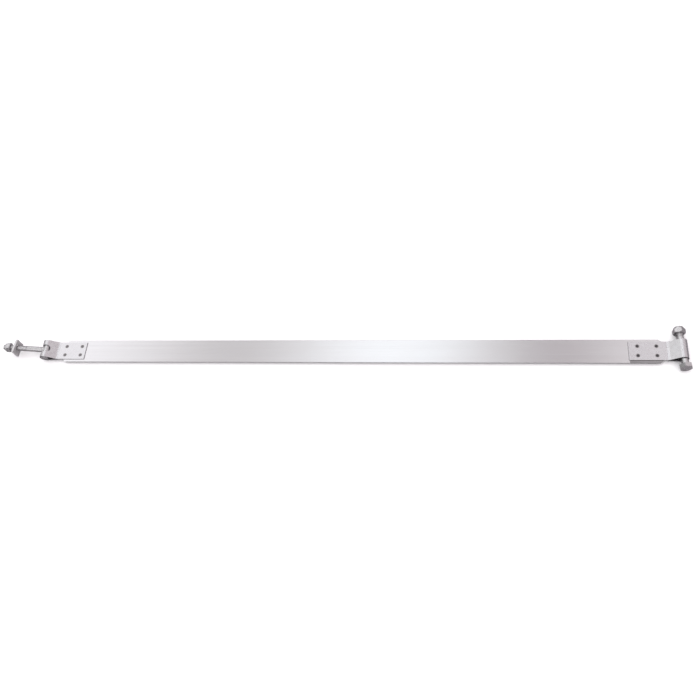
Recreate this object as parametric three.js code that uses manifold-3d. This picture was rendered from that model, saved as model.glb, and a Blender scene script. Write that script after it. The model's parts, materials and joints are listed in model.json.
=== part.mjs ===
// A tank clamping strap: a long flat steel band with a spot-welded bracket at each end. The left
// bracket ends in a notched eye that holds a T-bolt with a load plate and a lock nut. The right
// bracket ends in a plain eye on a hinge bolt, with room for a fork on both sides of the eye.
//
// Millimetres. +X runs along the band, +Y across it, +Z up. The origin is at the middle of the
// band's underside.

import * as THREE from "three";
import { mergeVertices } from "three/addons/utils/BufferGeometryUtils.js";
import Module from "manifold-3d";

// ---- Band ----
const BAND_LENGTH = 1090;
const BAND_WIDTH = 45;
const BAND_THICKNESS = 1.5;
const BAND_CORNER_CUT = 9;

// ---- Brackets ----
const SHEET = 1.5;
const BRACKET_WIDTH = 35;
const EYE_BORE_RADIUS = 7.3;
const EYE_OUTER_RADIUS = EYE_BORE_RADIUS + SHEET;
const SEAM_GAP = 0.2; // between the flap and the tail leaf under it
const EYE_HEIGHT = 6; // of the eye's axis above the band's underside
const RISE_ANGLE = THREE.MathUtils.degToRad(31);
const BEND_RADIUS = 10.7; // of the middle of the sheet
const TAIL_ANGLE = THREE.MathUtils.degToRad(6.3); // of the tail leaf, climbing from eye to flap
// length: from the eye's axis to the flap's free edge. overlap: of the flap on the band.
// spotMargin: from the free edge to the first column of spot welds.
const LEFT = { side: "left", length: 77.5, overlap: 46.5, spotMargin: 8.7, notched: true };
const RIGHT = { side: "right", length: 86, overlap: 59, spotMargin: 14.4, notched: false };
const NOTCH_WIDTH = 14;
const NOTCH_REACH = 9.2; // past the eye's axis, towards the band

// ---- Welds ----
const SPOT_RADIUS = 2.5;
const SPOT_CLEARANCE = 0.3;
const SPOT_DIMPLE = 0.35;
const SPOT_SPACING_X = 31;
const SPOT_SPACING_Y = 18;
const CLOSING_WELD_LEG = 1.5;
const CLOSING_WELD_LENGTH = 28;

// ---- T-bolt ----
const STUD_TILT = THREE.MathUtils.degToRad(7.5); // how far the stud points up as it lies
const BAR_RADIUS = 6.5;
const BAR_LENGTH = 35;
const BAR_BEVEL = 0.8;
const BOSS_RADIUS = 5.6;
const BOSS_HEIGHT = 7.5;
const SPIGOT_RADIUS = 3.2;
const SPIGOT_DEPTH = 3; // past the bar's axis
const PART_GAP = 0.3; // between pieces that touch in a turned group
const STUD_RADIUS = 5;
const STUD_REACH = 83; // from the eye's axis to the tip
const TIP_BEVEL = 1;

// ---- Load plate ----
const PLATE_WIDTH = 26.7;
const PLATE_HEIGHT = 21;
const PLATE_THICKNESS = 4;
const PLATE_HOLE_RADIUS = 6.25;
const PLATE_REACH = 57.5; // from the eye's axis to the plate's middle
const PLATE_LEAN = THREE.MathUtils.degToRad(1.5); // top edge towards the nut
const PLATE_YAW = THREE.MathUtils.degToRad(5.5); // near end towards the nut

// ---- Lock nuts: across flats, height of the hex, whole height, thread radius ----
const TENSION_NUT = { flats: 17, hex: 7, height: 10, thread: 5, turn: 0 };
const HINGE_NUT = { flats: 19, hex: 8.5, height: 12, thread: 6, turn: THREE.MathUtils.degToRad(10) };
const TENSION_NUT_REACH = 69; // from the eye's axis to the nut's bearing face
const LIP_THICKNESS = 0.6;
const COLLAR_INSET = 0.6; // of the collar from the flats
const INSERT_HEIGHT = 2.6;
const INSERT_WIDTH = 1.4;

// ---- Hinge bolt ----
const HINGE_SHANK_RADIUS = 6;
const HEAD_FLATS = 19;
const HEAD_HEIGHT = 7.5;
const HEAD_TURN = THREE.MathUtils.degToRad(18); // of the hexagon about the bolt's axis
const HEAD_FACE_REACH = 27.5; // from the middle of the eye to the head's bearing face
const HINGE_NUT_FACE_REACH = 30.5; // from the middle of the eye to the nut's bearing face
const HINGE_SKEW = THREE.MathUtils.degToRad(3.5); // of the loose bolt in its eye, out of square

// ---- Hexagons ----
const HEX_MARGIN = 0.2; // of the rounding cone outside the corners and inside the flats
const HEX_BEVEL_ANGLE = THREE.MathUtils.degToRad(30);

// ---- Cuts and smoothness ----
const OVERCUT = 1; // of a bore past the faces that it opens
const ROUND = 32; // sides of a full circle

// ---- Places ----
const BAND_END = BAND_LENGTH / 2;
const LEFT_EYE_X = -(BAND_END + LEFT.length - LEFT.overlap);
const RIGHT_EYE_X = BAND_END + RIGHT.length - RIGHT.overlap;
const FLAP_TOP = BAND_THICKNESS + SHEET;
const LEAF_TOP = BAND_THICKNESS - SEAM_GAP - EYE_HEIGHT; // from the eye's axis, at the leaf's end
const LEAF_CLIMB = LEAF_TOP + EYE_BORE_RADIUS * Math.cos(TAIL_ANGLE);
// From the eye's axis to the end of the tail leaf.
const TAIL_LENGTH = EYE_BORE_RADIUS * Math.sin(TAIL_ANGLE) + LEAF_CLIMB / Math.tan(TAIL_ANGLE);

const wasm = await Module();
wasm.setup();

// ---- Helpers ----

/** A closed geometry as a manifold-3d solid. */
function solid(geometry) {
  const bare = geometry.clone();
  bare.deleteAttribute("normal");
  bare.deleteAttribute("uv");
  const merged = mergeVertices(bare, 1e-4);
  return new wasm.Manifold(
    new wasm.Mesh({
      numProp: 3,
      vertProperties: new Float32Array(merged.attributes.position.array),
      triVerts: new Uint32Array(merged.index.array),
    }),
  );
}

/** A manifold-3d solid as a flat-shaded geometry. */
function geometryOf(body) {
  const mesh = body.getMesh();
  const indexed = new THREE.BufferGeometry();
  indexed.setAttribute("position", new THREE.BufferAttribute(mesh.vertProperties, mesh.numProp));
  indexed.setIndex(new THREE.BufferAttribute(mesh.triVerts, 1));
  const geometry = indexed.toNonIndexed();
  geometry.computeVertexNormals();
  return geometry;
}

/** A profile of [radius, height] points, turned about the Z axis. */
function turned(profile) {
  const points = profile.map(([radius, height]) => new THREE.Vector2(radius, height));
  return new THREE.LatheGeometry(points, ROUND).rotateX(Math.PI / 2);
}

/** A plain cylinder along Z. */
function cylinder(radius, from, to) {
  return turned([[0, from], [radius, from], [radius, to], [0, to]]);
}

/** A cylinder along Z with bevelled ends. */
function rod(radius, from, to, bevel) {
  return turned([
    [0, from],
    [radius - bevel, from],
    [radius, from + bevel],
    [radius, to - bevel],
    [radius - bevel, to],
    [0, to],
  ]);
}

/** A hexagonal prism from 0 up along Z. A cone rounds its corners at the top and, if asked, below. */
function hexagon(flats, height, turn, bevelBottom) {
  const corner = flats / Math.sqrt(3);
  const outside = corner + HEX_MARGIN;
  const inside = flats / 2 - HEX_MARGIN;
  const drop = (outside - inside) * Math.tan(HEX_BEVEL_ANGLE);
  const prism = new THREE.CylinderGeometry(corner, corner, height, 6)
    .rotateX(Math.PI / 2)
    .rotateZ(turn)
    .translate(0, 0, height / 2);
  const bottom = bevelBottom ? [[inside, 0], [outside, drop]] : [[outside, 0]];
  const envelope = turned([[0, 0], ...bottom, [outside, height - drop], [inside, height], [0, height]]);
  return solid(prism).intersect(solid(envelope));
}

function mesh(name, geometry, material) {
  const piece = new THREE.Mesh(geometry, material);
  piece.name = name;
  return piece;
}

// ---- Materials ----
const steel = (color, roughness) => new THREE.MeshStandardMaterial({ color, roughness, metalness: 1 });
const bandSteel = () => steel(0xcfcdcf, 0.34);
const bracketSteel = () => steel(0xd2d1d4, 0.36);
const weldSteel = () => steel(0x6e696b, 0.55);
const fastenerSteel = () => steel(0xc4c3c6, 0.26);
const nylon = () => new THREE.MeshStandardMaterial({ color: 0xdfe3e8, roughness: 0.55, metalness: 0 });

// ---- Band ----

/** The band's outline, with its four corners cut off at 45 degrees. */
function bandOutline() {
  const halfWidth = BAND_WIDTH / 2;
  const outline = new THREE.Shape();
  outline.moveTo(-BAND_END, -halfWidth + BAND_CORNER_CUT);
  outline.lineTo(-BAND_END + BAND_CORNER_CUT, -halfWidth);
  outline.lineTo(BAND_END - BAND_CORNER_CUT, -halfWidth);
  outline.lineTo(BAND_END, -halfWidth + BAND_CORNER_CUT);
  outline.lineTo(BAND_END, halfWidth - BAND_CORNER_CUT);
  outline.lineTo(BAND_END - BAND_CORNER_CUT, halfWidth);
  outline.lineTo(-BAND_END + BAND_CORNER_CUT, halfWidth);
  outline.lineTo(-BAND_END, halfWidth - BAND_CORNER_CUT);
  return outline;
}

function makeBand() {
  const geometry = new THREE.ExtrudeGeometry(bandOutline(), { depth: BAND_THICKNESS, bevelEnabled: false });
  return mesh("strap_band", geometry, bandSteel());
}

// ---- Brackets: drawn with the eye's axis at the origin, the band towards -X ----

/** Side view of the folded sheet: flap, rise, eye and tail leaf. */
function bracketOutline(length) {
  const flapTop = FLAP_TOP - EYE_HEIGHT;
  const flapUnder = flapTop - SHEET;
  const flapMiddle = flapTop - SHEET / 2;
  const eyeMiddle = EYE_BORE_RADIUS + SHEET / 2;
  const slope = (eyeMiddle * Math.cos(RISE_ANGLE) - flapMiddle) / Math.sin(RISE_ANGLE);
  const cornerX = -eyeMiddle * Math.sin(RISE_ANGLE) - slope * Math.cos(RISE_ANGLE);
  const bendX = cornerX - BEND_RADIUS * Math.tan(RISE_ANGLE / 2);
  const bendZ = flapMiddle + BEND_RADIUS;
  const down = -Math.PI / 2;
  const crest = Math.PI / 2 + RISE_ANGLE;
  const leafStart = down - TAIL_ANGLE;
  const outline = new THREE.Shape();
  outline.moveTo(-length, flapUnder);
  outline.absarc(bendX, bendZ, BEND_RADIUS + SHEET / 2, down, down + RISE_ANGLE, false);
  outline.absarc(0, 0, EYE_BORE_RADIUS, crest, leafStart, true);
  outline.lineTo(-TAIL_LENGTH, LEAF_TOP);
  outline.lineTo(-TAIL_LENGTH, LEAF_TOP - SHEET / Math.cos(TAIL_ANGLE));
  outline.absarc(0, 0, EYE_OUTER_RADIUS, leafStart, crest, false);
  outline.absarc(bendX, bendZ, BEND_RADIUS - SHEET / 2, down + RISE_ANGLE, down, true);
  outline.lineTo(-length, flapTop);
  return outline;
}

/** An outline in the XZ plane, extruded across the band and centred on it. */
function acrossBand(outline, width, curveSegments) {
  return new THREE.ExtrudeGeometry(outline, { depth: width, bevelEnabled: false, curveSegments })
    .rotateX(Math.PI / 2)
    .translate(0, width / 2, 0);
}

/** Centres of the four spot welds, measured from the eye's axis. */
function spotPlaces({ length, spotMargin }) {
  const first = spotMargin - length;
  const columns = [first, first + SPOT_SPACING_X];
  const rows = [-SPOT_SPACING_Y / 2, SPOT_SPACING_Y / 2];
  return columns.flatMap((x) => rows.map((y) => [x, y]));
}

/** The plan outline of the notch that lets the T-bolt's stud out of its eye. */
function notchOutline() {
  const radius = NOTCH_WIDTH / 2;
  const outline = new THREE.Shape();
  outline.absarc(radius - NOTCH_REACH, 0, radius, Math.PI / 2, (3 * Math.PI) / 2, false);
  outline.lineTo(2 * EYE_OUTER_RADIUS, -radius);
  outline.lineTo(2 * EYE_OUTER_RADIUS, radius);
  return outline;
}

function bracketBody(bracket) {
  let body = solid(acrossBand(bracketOutline(bracket.length), BRACKET_WIDTH, ROUND / 2));
  for (const [x, y] of spotPlaces(bracket)) {
    const hole = new THREE.CylinderGeometry(
      SPOT_RADIUS + SPOT_CLEARANCE, SPOT_RADIUS + SPOT_CLEARANCE, 3 * SHEET, ROUND / 2,
    ).rotateX(Math.PI / 2).translate(x, y, FLAP_TOP - EYE_HEIGHT - SHEET / 2);
    body = body.subtract(solid(hole));
  }
  if (bracket.notched) {
    const notch = new THREE.ExtrudeGeometry(notchOutline(), {
      depth: 4 * EYE_OUTER_RADIUS, bevelEnabled: false, curveSegments: ROUND / 2,
    }).translate(0, 0, -2 * EYE_OUTER_RADIUS);
    body = body.subtract(solid(notch));
  }
  return body;
}

/** One spot weld: a short disc on the band, a little below the top of the flap. */
function spotWeld(name, x, y) {
  const geometry = new THREE.CylinderGeometry(SPOT_RADIUS, SPOT_RADIUS, SHEET - SPOT_DIMPLE, ROUND / 2)
    .rotateX(Math.PI / 2)
    .translate(x, y, BAND_THICKNESS - EYE_HEIGHT + (SHEET - SPOT_DIMPLE) / 2);
  return mesh(name, geometry, weldSteel());
}

/** The fillet weld that closes the eye, where the tail leaf ends under the flap. */
function closingWeld(name) {
  const top = BAND_THICKNESS - EYE_HEIGHT;
  const outline = new THREE.Shape();
  outline.moveTo(-TAIL_LENGTH, top);
  outline.lineTo(-TAIL_LENGTH - CLOSING_WELD_LEG, top);
  outline.lineTo(-TAIL_LENGTH, top - CLOSING_WELD_LEG);
  return mesh(name, acrossBand(outline, CLOSING_WELD_LENGTH, 1), weldSteel());
}

function makeEnd(bracket, eyeX, facing) {
  const { side } = bracket;
  const end = new THREE.Group();
  end.add(mesh(`${side}_bracket`, geometryOf(bracketBody(bracket)), bracketSteel()));
  spotPlaces(bracket).forEach(([x, y], i) => end.add(spotWeld(`${side}_spot_weld_${i + 1}`, x, y)));
  end.add(closingWeld(`${side}_closing_weld`));
  end.position.set(eyeX, 0, EYE_HEIGHT);
  end.rotation.z = facing;
  return end;
}

// ---- T-bolt: drawn with its stud along +Z and its cross bar along Y ----

function makeTrunnionBar() {
  const bar = solid(rod(BAR_RADIUS, -BAR_LENGTH / 2, BAR_LENGTH / 2, BAR_BEVEL).rotateX(Math.PI / 2));
  const boss = solid(rod(BOSS_RADIUS, 0, BOSS_HEIGHT, BAR_BEVEL));
  const bore = solid(cylinder(SPIGOT_RADIUS + PART_GAP, -SPIGOT_DEPTH - PART_GAP, 2 * BAR_RADIUS));
  return mesh("trunnion_bar", geometryOf(bar.add(boss).subtract(bore)), fastenerSteel());
}

function makeStud() {
  const shoulder = BOSS_HEIGHT + PART_GAP;
  const geometry = turned([
    [0, -SPIGOT_DEPTH],
    [SPIGOT_RADIUS, -SPIGOT_DEPTH],
    [SPIGOT_RADIUS, shoulder],
    [STUD_RADIUS, shoulder],
    [STUD_RADIUS, STUD_REACH - TIP_BEVEL],
    [STUD_RADIUS - TIP_BEVEL, STUD_REACH],
    [0, STUD_REACH],
  ]);
  return mesh("tension_stud", geometry, fastenerSteel());
}

function makeLoadPlate() {
  const outline = new THREE.Shape();
  outline.moveTo(-PLATE_HEIGHT / 2, -PLATE_WIDTH / 2);
  outline.lineTo(PLATE_HEIGHT / 2, -PLATE_WIDTH / 2);
  outline.lineTo(PLATE_HEIGHT / 2, PLATE_WIDTH / 2);
  outline.lineTo(-PLATE_HEIGHT / 2, PLATE_WIDTH / 2);
  const hole = new THREE.Path();
  hole.absarc(0, 0, PLATE_HOLE_RADIUS, 0, 2 * Math.PI, true);
  outline.holes.push(hole);
  const geometry = new THREE.ExtrudeGeometry(outline, {
    depth: PLATE_THICKNESS, bevelEnabled: false, curveSegments: ROUND / 2,
  }).translate(0, 0, -PLATE_THICKNESS / 2);
  return mesh("load_plate", geometry, fastenerSteel());
}

// ---- Lock nuts: bearing face at the origin, the collar towards +Z ----

/** Radius of the recess that holds the nylon insert. */
const recessRadius = (nut) => nut.thread + PART_GAP + INSERT_WIDTH + PART_GAP;

function nutBody(nut) {
  const collarRadius = nut.flats / 2 - COLLAR_INSET;
  const bore = nut.thread + PART_GAP;
  const recessFloor = nut.height - LIP_THICKNESS - INSERT_HEIGHT - 2 * PART_GAP;
  const lipRadius = recessRadius(nut) - LIP_THICKNESS;
  const rounding = nut.height - nut.hex;
  const collar = turned([
    [0, nut.hex / 2],
    [collarRadius, nut.hex / 2],
    [collarRadius, nut.height - rounding / 2],
    [collarRadius - rounding / 3, nut.height],
    [0, nut.height],
  ]);
  const hollow = turned([
    [0, -OVERCUT],
    [bore, -OVERCUT],
    [bore, recessFloor],
    [recessRadius(nut), recessFloor],
    [recessRadius(nut), nut.height - LIP_THICKNESS],
    [lipRadius, nut.height - LIP_THICKNESS],
    [lipRadius, nut.height + OVERCUT],
    [0, nut.height + OVERCUT],
  ]);
  return hexagon(nut.flats, nut.hex, nut.turn, true).add(solid(collar)).subtract(solid(hollow));
}

function insertGeometry(nut) {
  const inner = nut.thread + PART_GAP;
  const outer = inner + INSERT_WIDTH;
  const top = nut.height - LIP_THICKNESS - PART_GAP;
  const bottom = top - INSERT_HEIGHT;
  return turned([
    [inner, bottom],
    [outer, bottom],
    [outer, top],
    [inner, top],
    [inner, bottom],
  ]);
}

function makeNut(name, nut) {
  const pair = new THREE.Group();
  pair.add(mesh(name, geometryOf(nutBody(nut)), fastenerSteel()));
  pair.add(mesh(`${name}_insert`, insertGeometry(nut), nylon()));
  return pair;
}

function makeTBolt() {
  const tBolt = new THREE.Group();
  tBolt.add(makeTrunnionBar(), makeStud());
  const plate = makeLoadPlate();
  plate.position.z = PLATE_REACH;
  plate.rotation.set(-PLATE_YAW, -PLATE_LEAN - STUD_TILT, 0);
  tBolt.add(plate);
  const nut = makeNut("tension_nut", TENSION_NUT);
  nut.position.z = TENSION_NUT_REACH;
  tBolt.add(nut);
  tBolt.position.set(LEFT_EYE_X, 0, EYE_HEIGHT);
  tBolt.rotation.y = -Math.PI / 2 + STUD_TILT;
  return tBolt;
}

// ---- Hinge bolt: drawn along +Z, with the head's bearing face at the bolt's origin ----

function makeHingeBolt() {
  const length = HEAD_FACE_REACH + HINGE_NUT_FACE_REACH + HINGE_NUT.height;
  const shank = solid(rod(HINGE_SHANK_RADIUS, -HEAD_HEIGHT / 2, length, TIP_BEVEL));
  const head = geometryOf(hexagon(HEAD_FLATS, HEAD_HEIGHT, HEAD_TURN, false)).rotateX(Math.PI);
  return mesh("hinge_bolt", geometryOf(solid(head).add(shank)), fastenerSteel());
}

function makeHinge() {
  const hinge = new THREE.Group();
  const bolt = makeHingeBolt();
  bolt.position.z = -HEAD_FACE_REACH;
  const nut = makeNut("hinge_nut", HINGE_NUT);
  nut.position.z = HINGE_NUT_FACE_REACH;
  hinge.add(bolt, nut);
  hinge.position.set(RIGHT_EYE_X, 0, EYE_HEIGHT);
  hinge.rotation.set(-Math.PI / 2, 0, HINGE_SKEW, "ZYX");
  return hinge;
}

// ---- Assembly ----
const group = new THREE.Group();
group.add(makeBand());
group.add(makeEnd(LEFT, LEFT_EYE_X, Math.PI));
group.add(makeEnd(RIGHT, RIGHT_EYE_X, 0));
group.add(makeTBolt());
group.add(makeHinge());

export default group;
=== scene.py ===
"""A tank clamping strap on a pale floor: a long flat band with a bracket and fasteners at each end."""
import json
import math

import bmesh
import bpy
from mathutils import Matrix, Vector


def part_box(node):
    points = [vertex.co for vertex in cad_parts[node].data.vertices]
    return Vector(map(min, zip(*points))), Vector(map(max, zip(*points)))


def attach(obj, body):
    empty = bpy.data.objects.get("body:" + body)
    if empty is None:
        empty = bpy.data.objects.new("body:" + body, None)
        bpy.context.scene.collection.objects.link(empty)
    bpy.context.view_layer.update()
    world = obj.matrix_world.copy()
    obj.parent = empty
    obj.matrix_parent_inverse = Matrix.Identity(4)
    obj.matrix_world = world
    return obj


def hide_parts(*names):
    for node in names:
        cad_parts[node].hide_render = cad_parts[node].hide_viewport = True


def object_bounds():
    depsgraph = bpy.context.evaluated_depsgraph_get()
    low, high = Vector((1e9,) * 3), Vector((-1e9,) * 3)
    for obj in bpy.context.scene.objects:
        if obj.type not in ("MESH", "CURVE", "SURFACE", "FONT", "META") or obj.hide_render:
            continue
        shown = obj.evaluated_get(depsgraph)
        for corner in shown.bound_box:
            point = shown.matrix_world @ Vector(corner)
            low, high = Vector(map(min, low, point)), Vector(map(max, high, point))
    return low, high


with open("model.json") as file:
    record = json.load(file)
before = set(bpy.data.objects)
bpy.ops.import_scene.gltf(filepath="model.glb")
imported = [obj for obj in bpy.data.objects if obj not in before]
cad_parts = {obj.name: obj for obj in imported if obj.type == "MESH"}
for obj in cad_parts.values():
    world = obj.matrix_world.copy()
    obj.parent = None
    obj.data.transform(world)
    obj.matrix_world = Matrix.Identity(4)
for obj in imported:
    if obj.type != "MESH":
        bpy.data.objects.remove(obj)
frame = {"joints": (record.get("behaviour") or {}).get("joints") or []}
cad_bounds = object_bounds()

# Lengths are millimetres and angles degrees, unless a comment says otherwise. Blender's unit is the metre.
MM = 0.001
SMOOTH_ANGLE = 32  # edges sharper than this stay crisp
MERGE_DISTANCE = 1e-5
CUT_MERGE_DISTANCE = 1e-4  # used on a cut mesh before its edges are rounded
COARSE_QUARTER = (0, 30, 60, 90)  # the points of a rounded edge
FINE_QUARTER = (0, 22.5, 45, 67.5, 90)
ROUNDING_STEPS = 4

# ---- Band and brackets ----
SHEET = 1.5
FLAP_TOP = 3.0
EDGE_RADIUS = 0.25
BAND_EDGE_RADIUS = 0.4
BAND_CORNER_CUT = 9.0
FLAT_NORMAL = 0.7  # the upward part of a normal, above which a face has the band's finish
BRACKET_WIDTH = 35.0
EYE_BORE_RADIUS = 7.3
EYE_OUTER_RADIUS = EYE_BORE_RADIUS + SHEET
RISE_ANGLE = 31.0
BEND_RADIUS = 10.7
TAIL_ANGLE = 6.3
SEAM_GAP = 0.2
NOTCH_WIDTH = 14.0
NOTCH_REACH = 9.2
ARC_STEP = 4.0  # degrees between the points of an arc

# ---- Welds ----
SPOT_RADIUS = 2.8
SPOT_DEPTH = 0.55
SPOT_SIDES = 40
SPOT_FIT = 0.1  # inside its hole, on the radius
SPOT_ROOT = -0.4  # height of the shoulder under the rim
DISH_SHARES = (0.06, 0.25, 0.45, 0.65, 0.8, 0.92, 1.0)
DISH_DROP = 0.06
SPOT_RIM = ((0.12, -0.01), (0.3, 0.05), (0.5, 0.04), (0.7, -0.03))  # past the radius, and height
RIM_UNDERSIDE = -0.3
BEAD_LENGTH = 28.0
BEAD_LEG = 1.5
BEAD_STEPS = 70
BEAD_RIPPLES = 19
BEAD_RIPPLE_SIZE = 0.07
BEAD_END_SIZE = 0.35  # at the very end, as a share
BEAD_END_GROWTH = 5  # added to that share per length of bead, up to full size

# ---- T-bolt ----
BAR_RADIUS = 6.5
BAR_LENGTH = 35.0
BAR_SIDES = 96
BAR_ROUNDING = 1.0
BOSS_RADIUS = 5.6
BOSS_HEIGHT = 7.5
BOSS_SIDES = 72
BOSS_ROUNDING = 0.9
CORE_RADIUS = 0.4  # of the flat at the middle of a turned end
STUD_RADIUS = 5.0
STUD_REACH = 83.0
STUD_THREAD_FROM = 36.0
STUD_PITCH = 1.5
STUD_NECK_INSET = 0.4
STUD_ROOT = 1.0  # how far the neck reaches into the boss
STUD_NECK = 0.3  # and above it
STUD_SHOULDER = 0.9  # height above the boss where the full radius starts

# ---- Load plate ----
PLATE_WIDTH = 26.7
PLATE_HEIGHT = 21.0
PLATE_THICKNESS = 4.0
PLATE_HOLE_RADIUS = 6.25
PLATE_CORNER_RADIUS = 0.9
PLATE_EDGE_RADIUS = 0.45
PLATE_HOLE_CHAMFER = 0.35
PLATE_STEP = 1.6  # between the points of a side
PLATE_REACH = 57.5
PLATE_LEAN = 1.5
PLATE_YAW = 5.5
STUD_TILT = 7.5

# ---- Lock nuts ----
TENSION_NUT = {"flats": 17.0, "hex": 7.0, "height": 10.0, "thread": 5.0, "turn": 0.0, "reach": 69.0}
HINGE_NUT = {"flats": 19.0, "hex": 8.5, "height": 12.0, "thread": 6.0, "turn": 10.0, "reach": 30.5}
COLLAR_INSET = 0.6
LIP_THICKNESS = 0.6
INSERT_HEIGHT = 2.6
INSERT_WIDTH = 1.4
PART_GAP = 0.3
THREAD_CLEARANCE = 0.08
COUNTERSINK = 0.6
FACE_INSET = 0.5
FACE_LIFT = 0.12
HEX_TOP_DROP = 0.1
COLLAR_FILLET = 0.12
COLLAR_RISE = 0.05
DOME_START = 0.35
DOME_ROUNDNESS = 0.62
DOME_ANGLES = (0, 20, 40, 60, 78)
LIP_ROUNDING = 0.45
LIP_DROP = 0.15
LIP_OVERHANG = 0.3
INSERT_SIDES = 64
INSERT_FIT = 0.1
INSERT_ROUNDING = 0.25

# ---- Hinge bolt ----
SHANK_RADIUS = 6.0
HEAD_FLATS = 19.0
HEAD_HEIGHT = 7.5
HEAD_TURN = 18.0
HEAD_REACH = 27.5
HINGE_THREAD_FROM = 22.0
HINGE_PITCH = 1.75
TIP_PAST_NUT = 0.3
CROWN_INSET = 1.0
EDGE_BREAK = 0.15  # at the crown, the washer face and the foot of the shank
CROWN_DROP = 0.04
HEAD_FILLET = 0.6

# ---- Hexagons and threads ----
HEX_SIDES = 96  # points round a hexagon
HEX_SPACING = 60  # degrees from corner to corner
HEX_CHAMFER_ANGLE = 30.0
HEX_MARGIN = 0.2
WASHER_FACE = 0.35
THREAD_SIDES = 48
THREAD_DEPTH = 0.6  # of the pitch
THREAD_RUN_OUT = 2  # pitches
THREAD_CREST = 0.07  # half its width, in pitches
THREAD_FLANK = 0.32
THREAD_ROWS = (0.11, 0.43, 0.57, 0.89)  # of the mesh, in each pitch
TIP_BEVEL = 1.0


# ---- Small geometry ----

def polar(radius, angle, z=0.0):
    """A point at an angle in degrees about the Z axis."""
    return Vector((radius * math.cos(math.radians(angle)), radius * math.sin(math.radians(angle)), z))


def arc(centre, radius, start, end):
    """Points of an arc in a plane, from one angle to the other, both included."""
    steps = max(2, round(abs(end - start) / ARC_STEP))
    angles = [start + (end - start) * i / steps for i in range(steps + 1)]
    return [(centre[0] + polar(radius, a).x, centre[1] + polar(radius, a).y) for a in angles]


def circle(radius, z, sides):
    return [polar(radius, 360 * i / sides, z) for i in range(sides)]


def add_rings(bm, rings):
    """Vertices of several rings of equally many points, and the faces between each ring and the next."""
    rows = [[bm.verts.new(point) for point in ring] for ring in rings]
    for lower, upper in zip(rows, rows[1:]):
        for i in range(len(lower)):
            j = (i + 1) % len(lower)
            bm.faces.new((lower[i], lower[j], upper[j], upper[i]))
    return rows


def closed_loft(rings):
    """A solid through rings, closed by a flat face at both ends."""
    bm = bmesh.new()
    rows = add_rings(bm, rings)
    bm.faces.new(rows[0][::-1])
    bm.faces.new(rows[-1])
    return bm


def ring_loft(rings):
    """A solid with a hole, through rings that come back to the first."""
    bm = bmesh.new()
    add_rings(bm, [*rings, rings[0]])
    bmesh.ops.remove_doubles(bm, verts=bm.verts, dist=MERGE_DISTANCE)
    return bm


def turned(profile, sides):
    """A solid turned about Z from (radius, height) points, with a flat face at both ends."""
    return closed_loft([circle(radius, height, sides) for radius, height in profile])


def rounded(profile, radius):
    """A profile whose inner corners are replaced by short arcs of about that radius."""
    points = [profile[0]]
    for before, corner, after in zip(profile, profile[1:], profile[2:]):
        corner_point = Vector(corner)
        back, ahead = Vector(before) - corner_point, Vector(after) - corner_point
        reach = min(radius, back.length / 2, ahead.length / 2)
        start, end = corner_point + back.normalized() * reach, corner_point + ahead.normalized() * reach
        for i in range(ROUNDING_STEPS + 1):
            t = i / ROUNDING_STEPS
            curve = start * (1 - t) ** 2 + corner_point * (2 * t * (1 - t)) + end * t ** 2
            points.append(tuple(curve))
    return [*points, profile[-1]]


def placed(origin, z_axis, y_axis):
    """The matrix of a local frame at a point in metres."""
    z, y = Vector(z_axis).normalized(), Vector(y_axis).normalized()
    rotation = Matrix((y.cross(z), y, z)).transposed().to_4x4()
    return Matrix.Translation(Vector(origin)) @ rotation


def turn(angle, axis):
    return Matrix.Rotation(math.radians(angle), 4, axis)


def make_object(name, bm):
    """An object with smooth rounds and crisp edges, from a mesh in millimetres."""
    bmesh.ops.remove_doubles(bm, verts=bm.verts, dist=MERGE_DISTANCE)
    bmesh.ops.dissolve_degenerate(bm, edges=bm.edges, dist=MERGE_DISTANCE)
    bmesh.ops.recalc_face_normals(bm, faces=bm.faces)
    bmesh.ops.scale(bm, vec=(MM, MM, MM), verts=bm.verts)
    for edge in bm.edges:
        edge.smooth = len(edge.link_faces) == 2 and edge.calc_face_angle(0) < math.radians(SMOOTH_ANGLE)
    for face in bm.faces:
        face.smooth = True
    mesh = bpy.data.meshes.new(name)
    bm.to_mesh(mesh)
    bm.free()
    piece = bpy.data.objects.new(name, mesh)
    bpy.context.scene.collection.objects.link(piece)
    return piece


def combined(name, bm, other_bm, operation):
    """The mesh of one solid cut by, or joined to, another, in millimetres."""
    solids = []
    for suffix, source in (("_body", bm), ("_tool", other_bm)):
        bmesh.ops.recalc_face_normals(source, faces=source.faces)
        mesh = bpy.data.meshes.new(name + suffix)
        source.to_mesh(mesh)
        source.free()
        solid = bpy.data.objects.new(name + suffix, mesh)
        bpy.context.scene.collection.objects.link(solid)
        solids.append(solid)
    body, tool = solids
    boolean = body.modifiers.new("boolean", "BOOLEAN")
    boolean.object = tool
    boolean.operation = operation
    boolean.solver = "EXACT"
    result = bmesh.new()
    result.from_object(body, bpy.context.evaluated_depsgraph_get())
    for solid in solids:
        mesh = solid.data
        bpy.data.objects.remove(solid)
        bpy.data.meshes.remove(mesh)
    return result


def soften_edges(bm, width):
    """Rounds every crisp edge of a mesh in millimetres."""
    bmesh.ops.remove_doubles(bm, verts=bm.verts, dist=CUT_MERGE_DISTANCE)
    limit = math.radians(SMOOTH_ANGLE)
    edges = [e for e in bm.edges if len(e.link_faces) == 2 and e.calc_face_angle(0) > limit]
    bmesh.ops.bevel(bm, geom=edges, offset=width, segments=2, profile=0.5, affect="EDGES", clamp_overlap=True)
    return bm


def finish_piece(piece, matrix, body, nodes, materials):
    """Puts a piece in its place, on its body, in its material."""
    piece.matrix_world = matrix
    weighted = piece.modifiers.new("weighted_normals", "WEIGHTED_NORMAL")
    weighted.keep_sharp = True
    for material in materials:
        piece.data.materials.append(material)
    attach(piece, body)
    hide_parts(*nodes)


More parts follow.
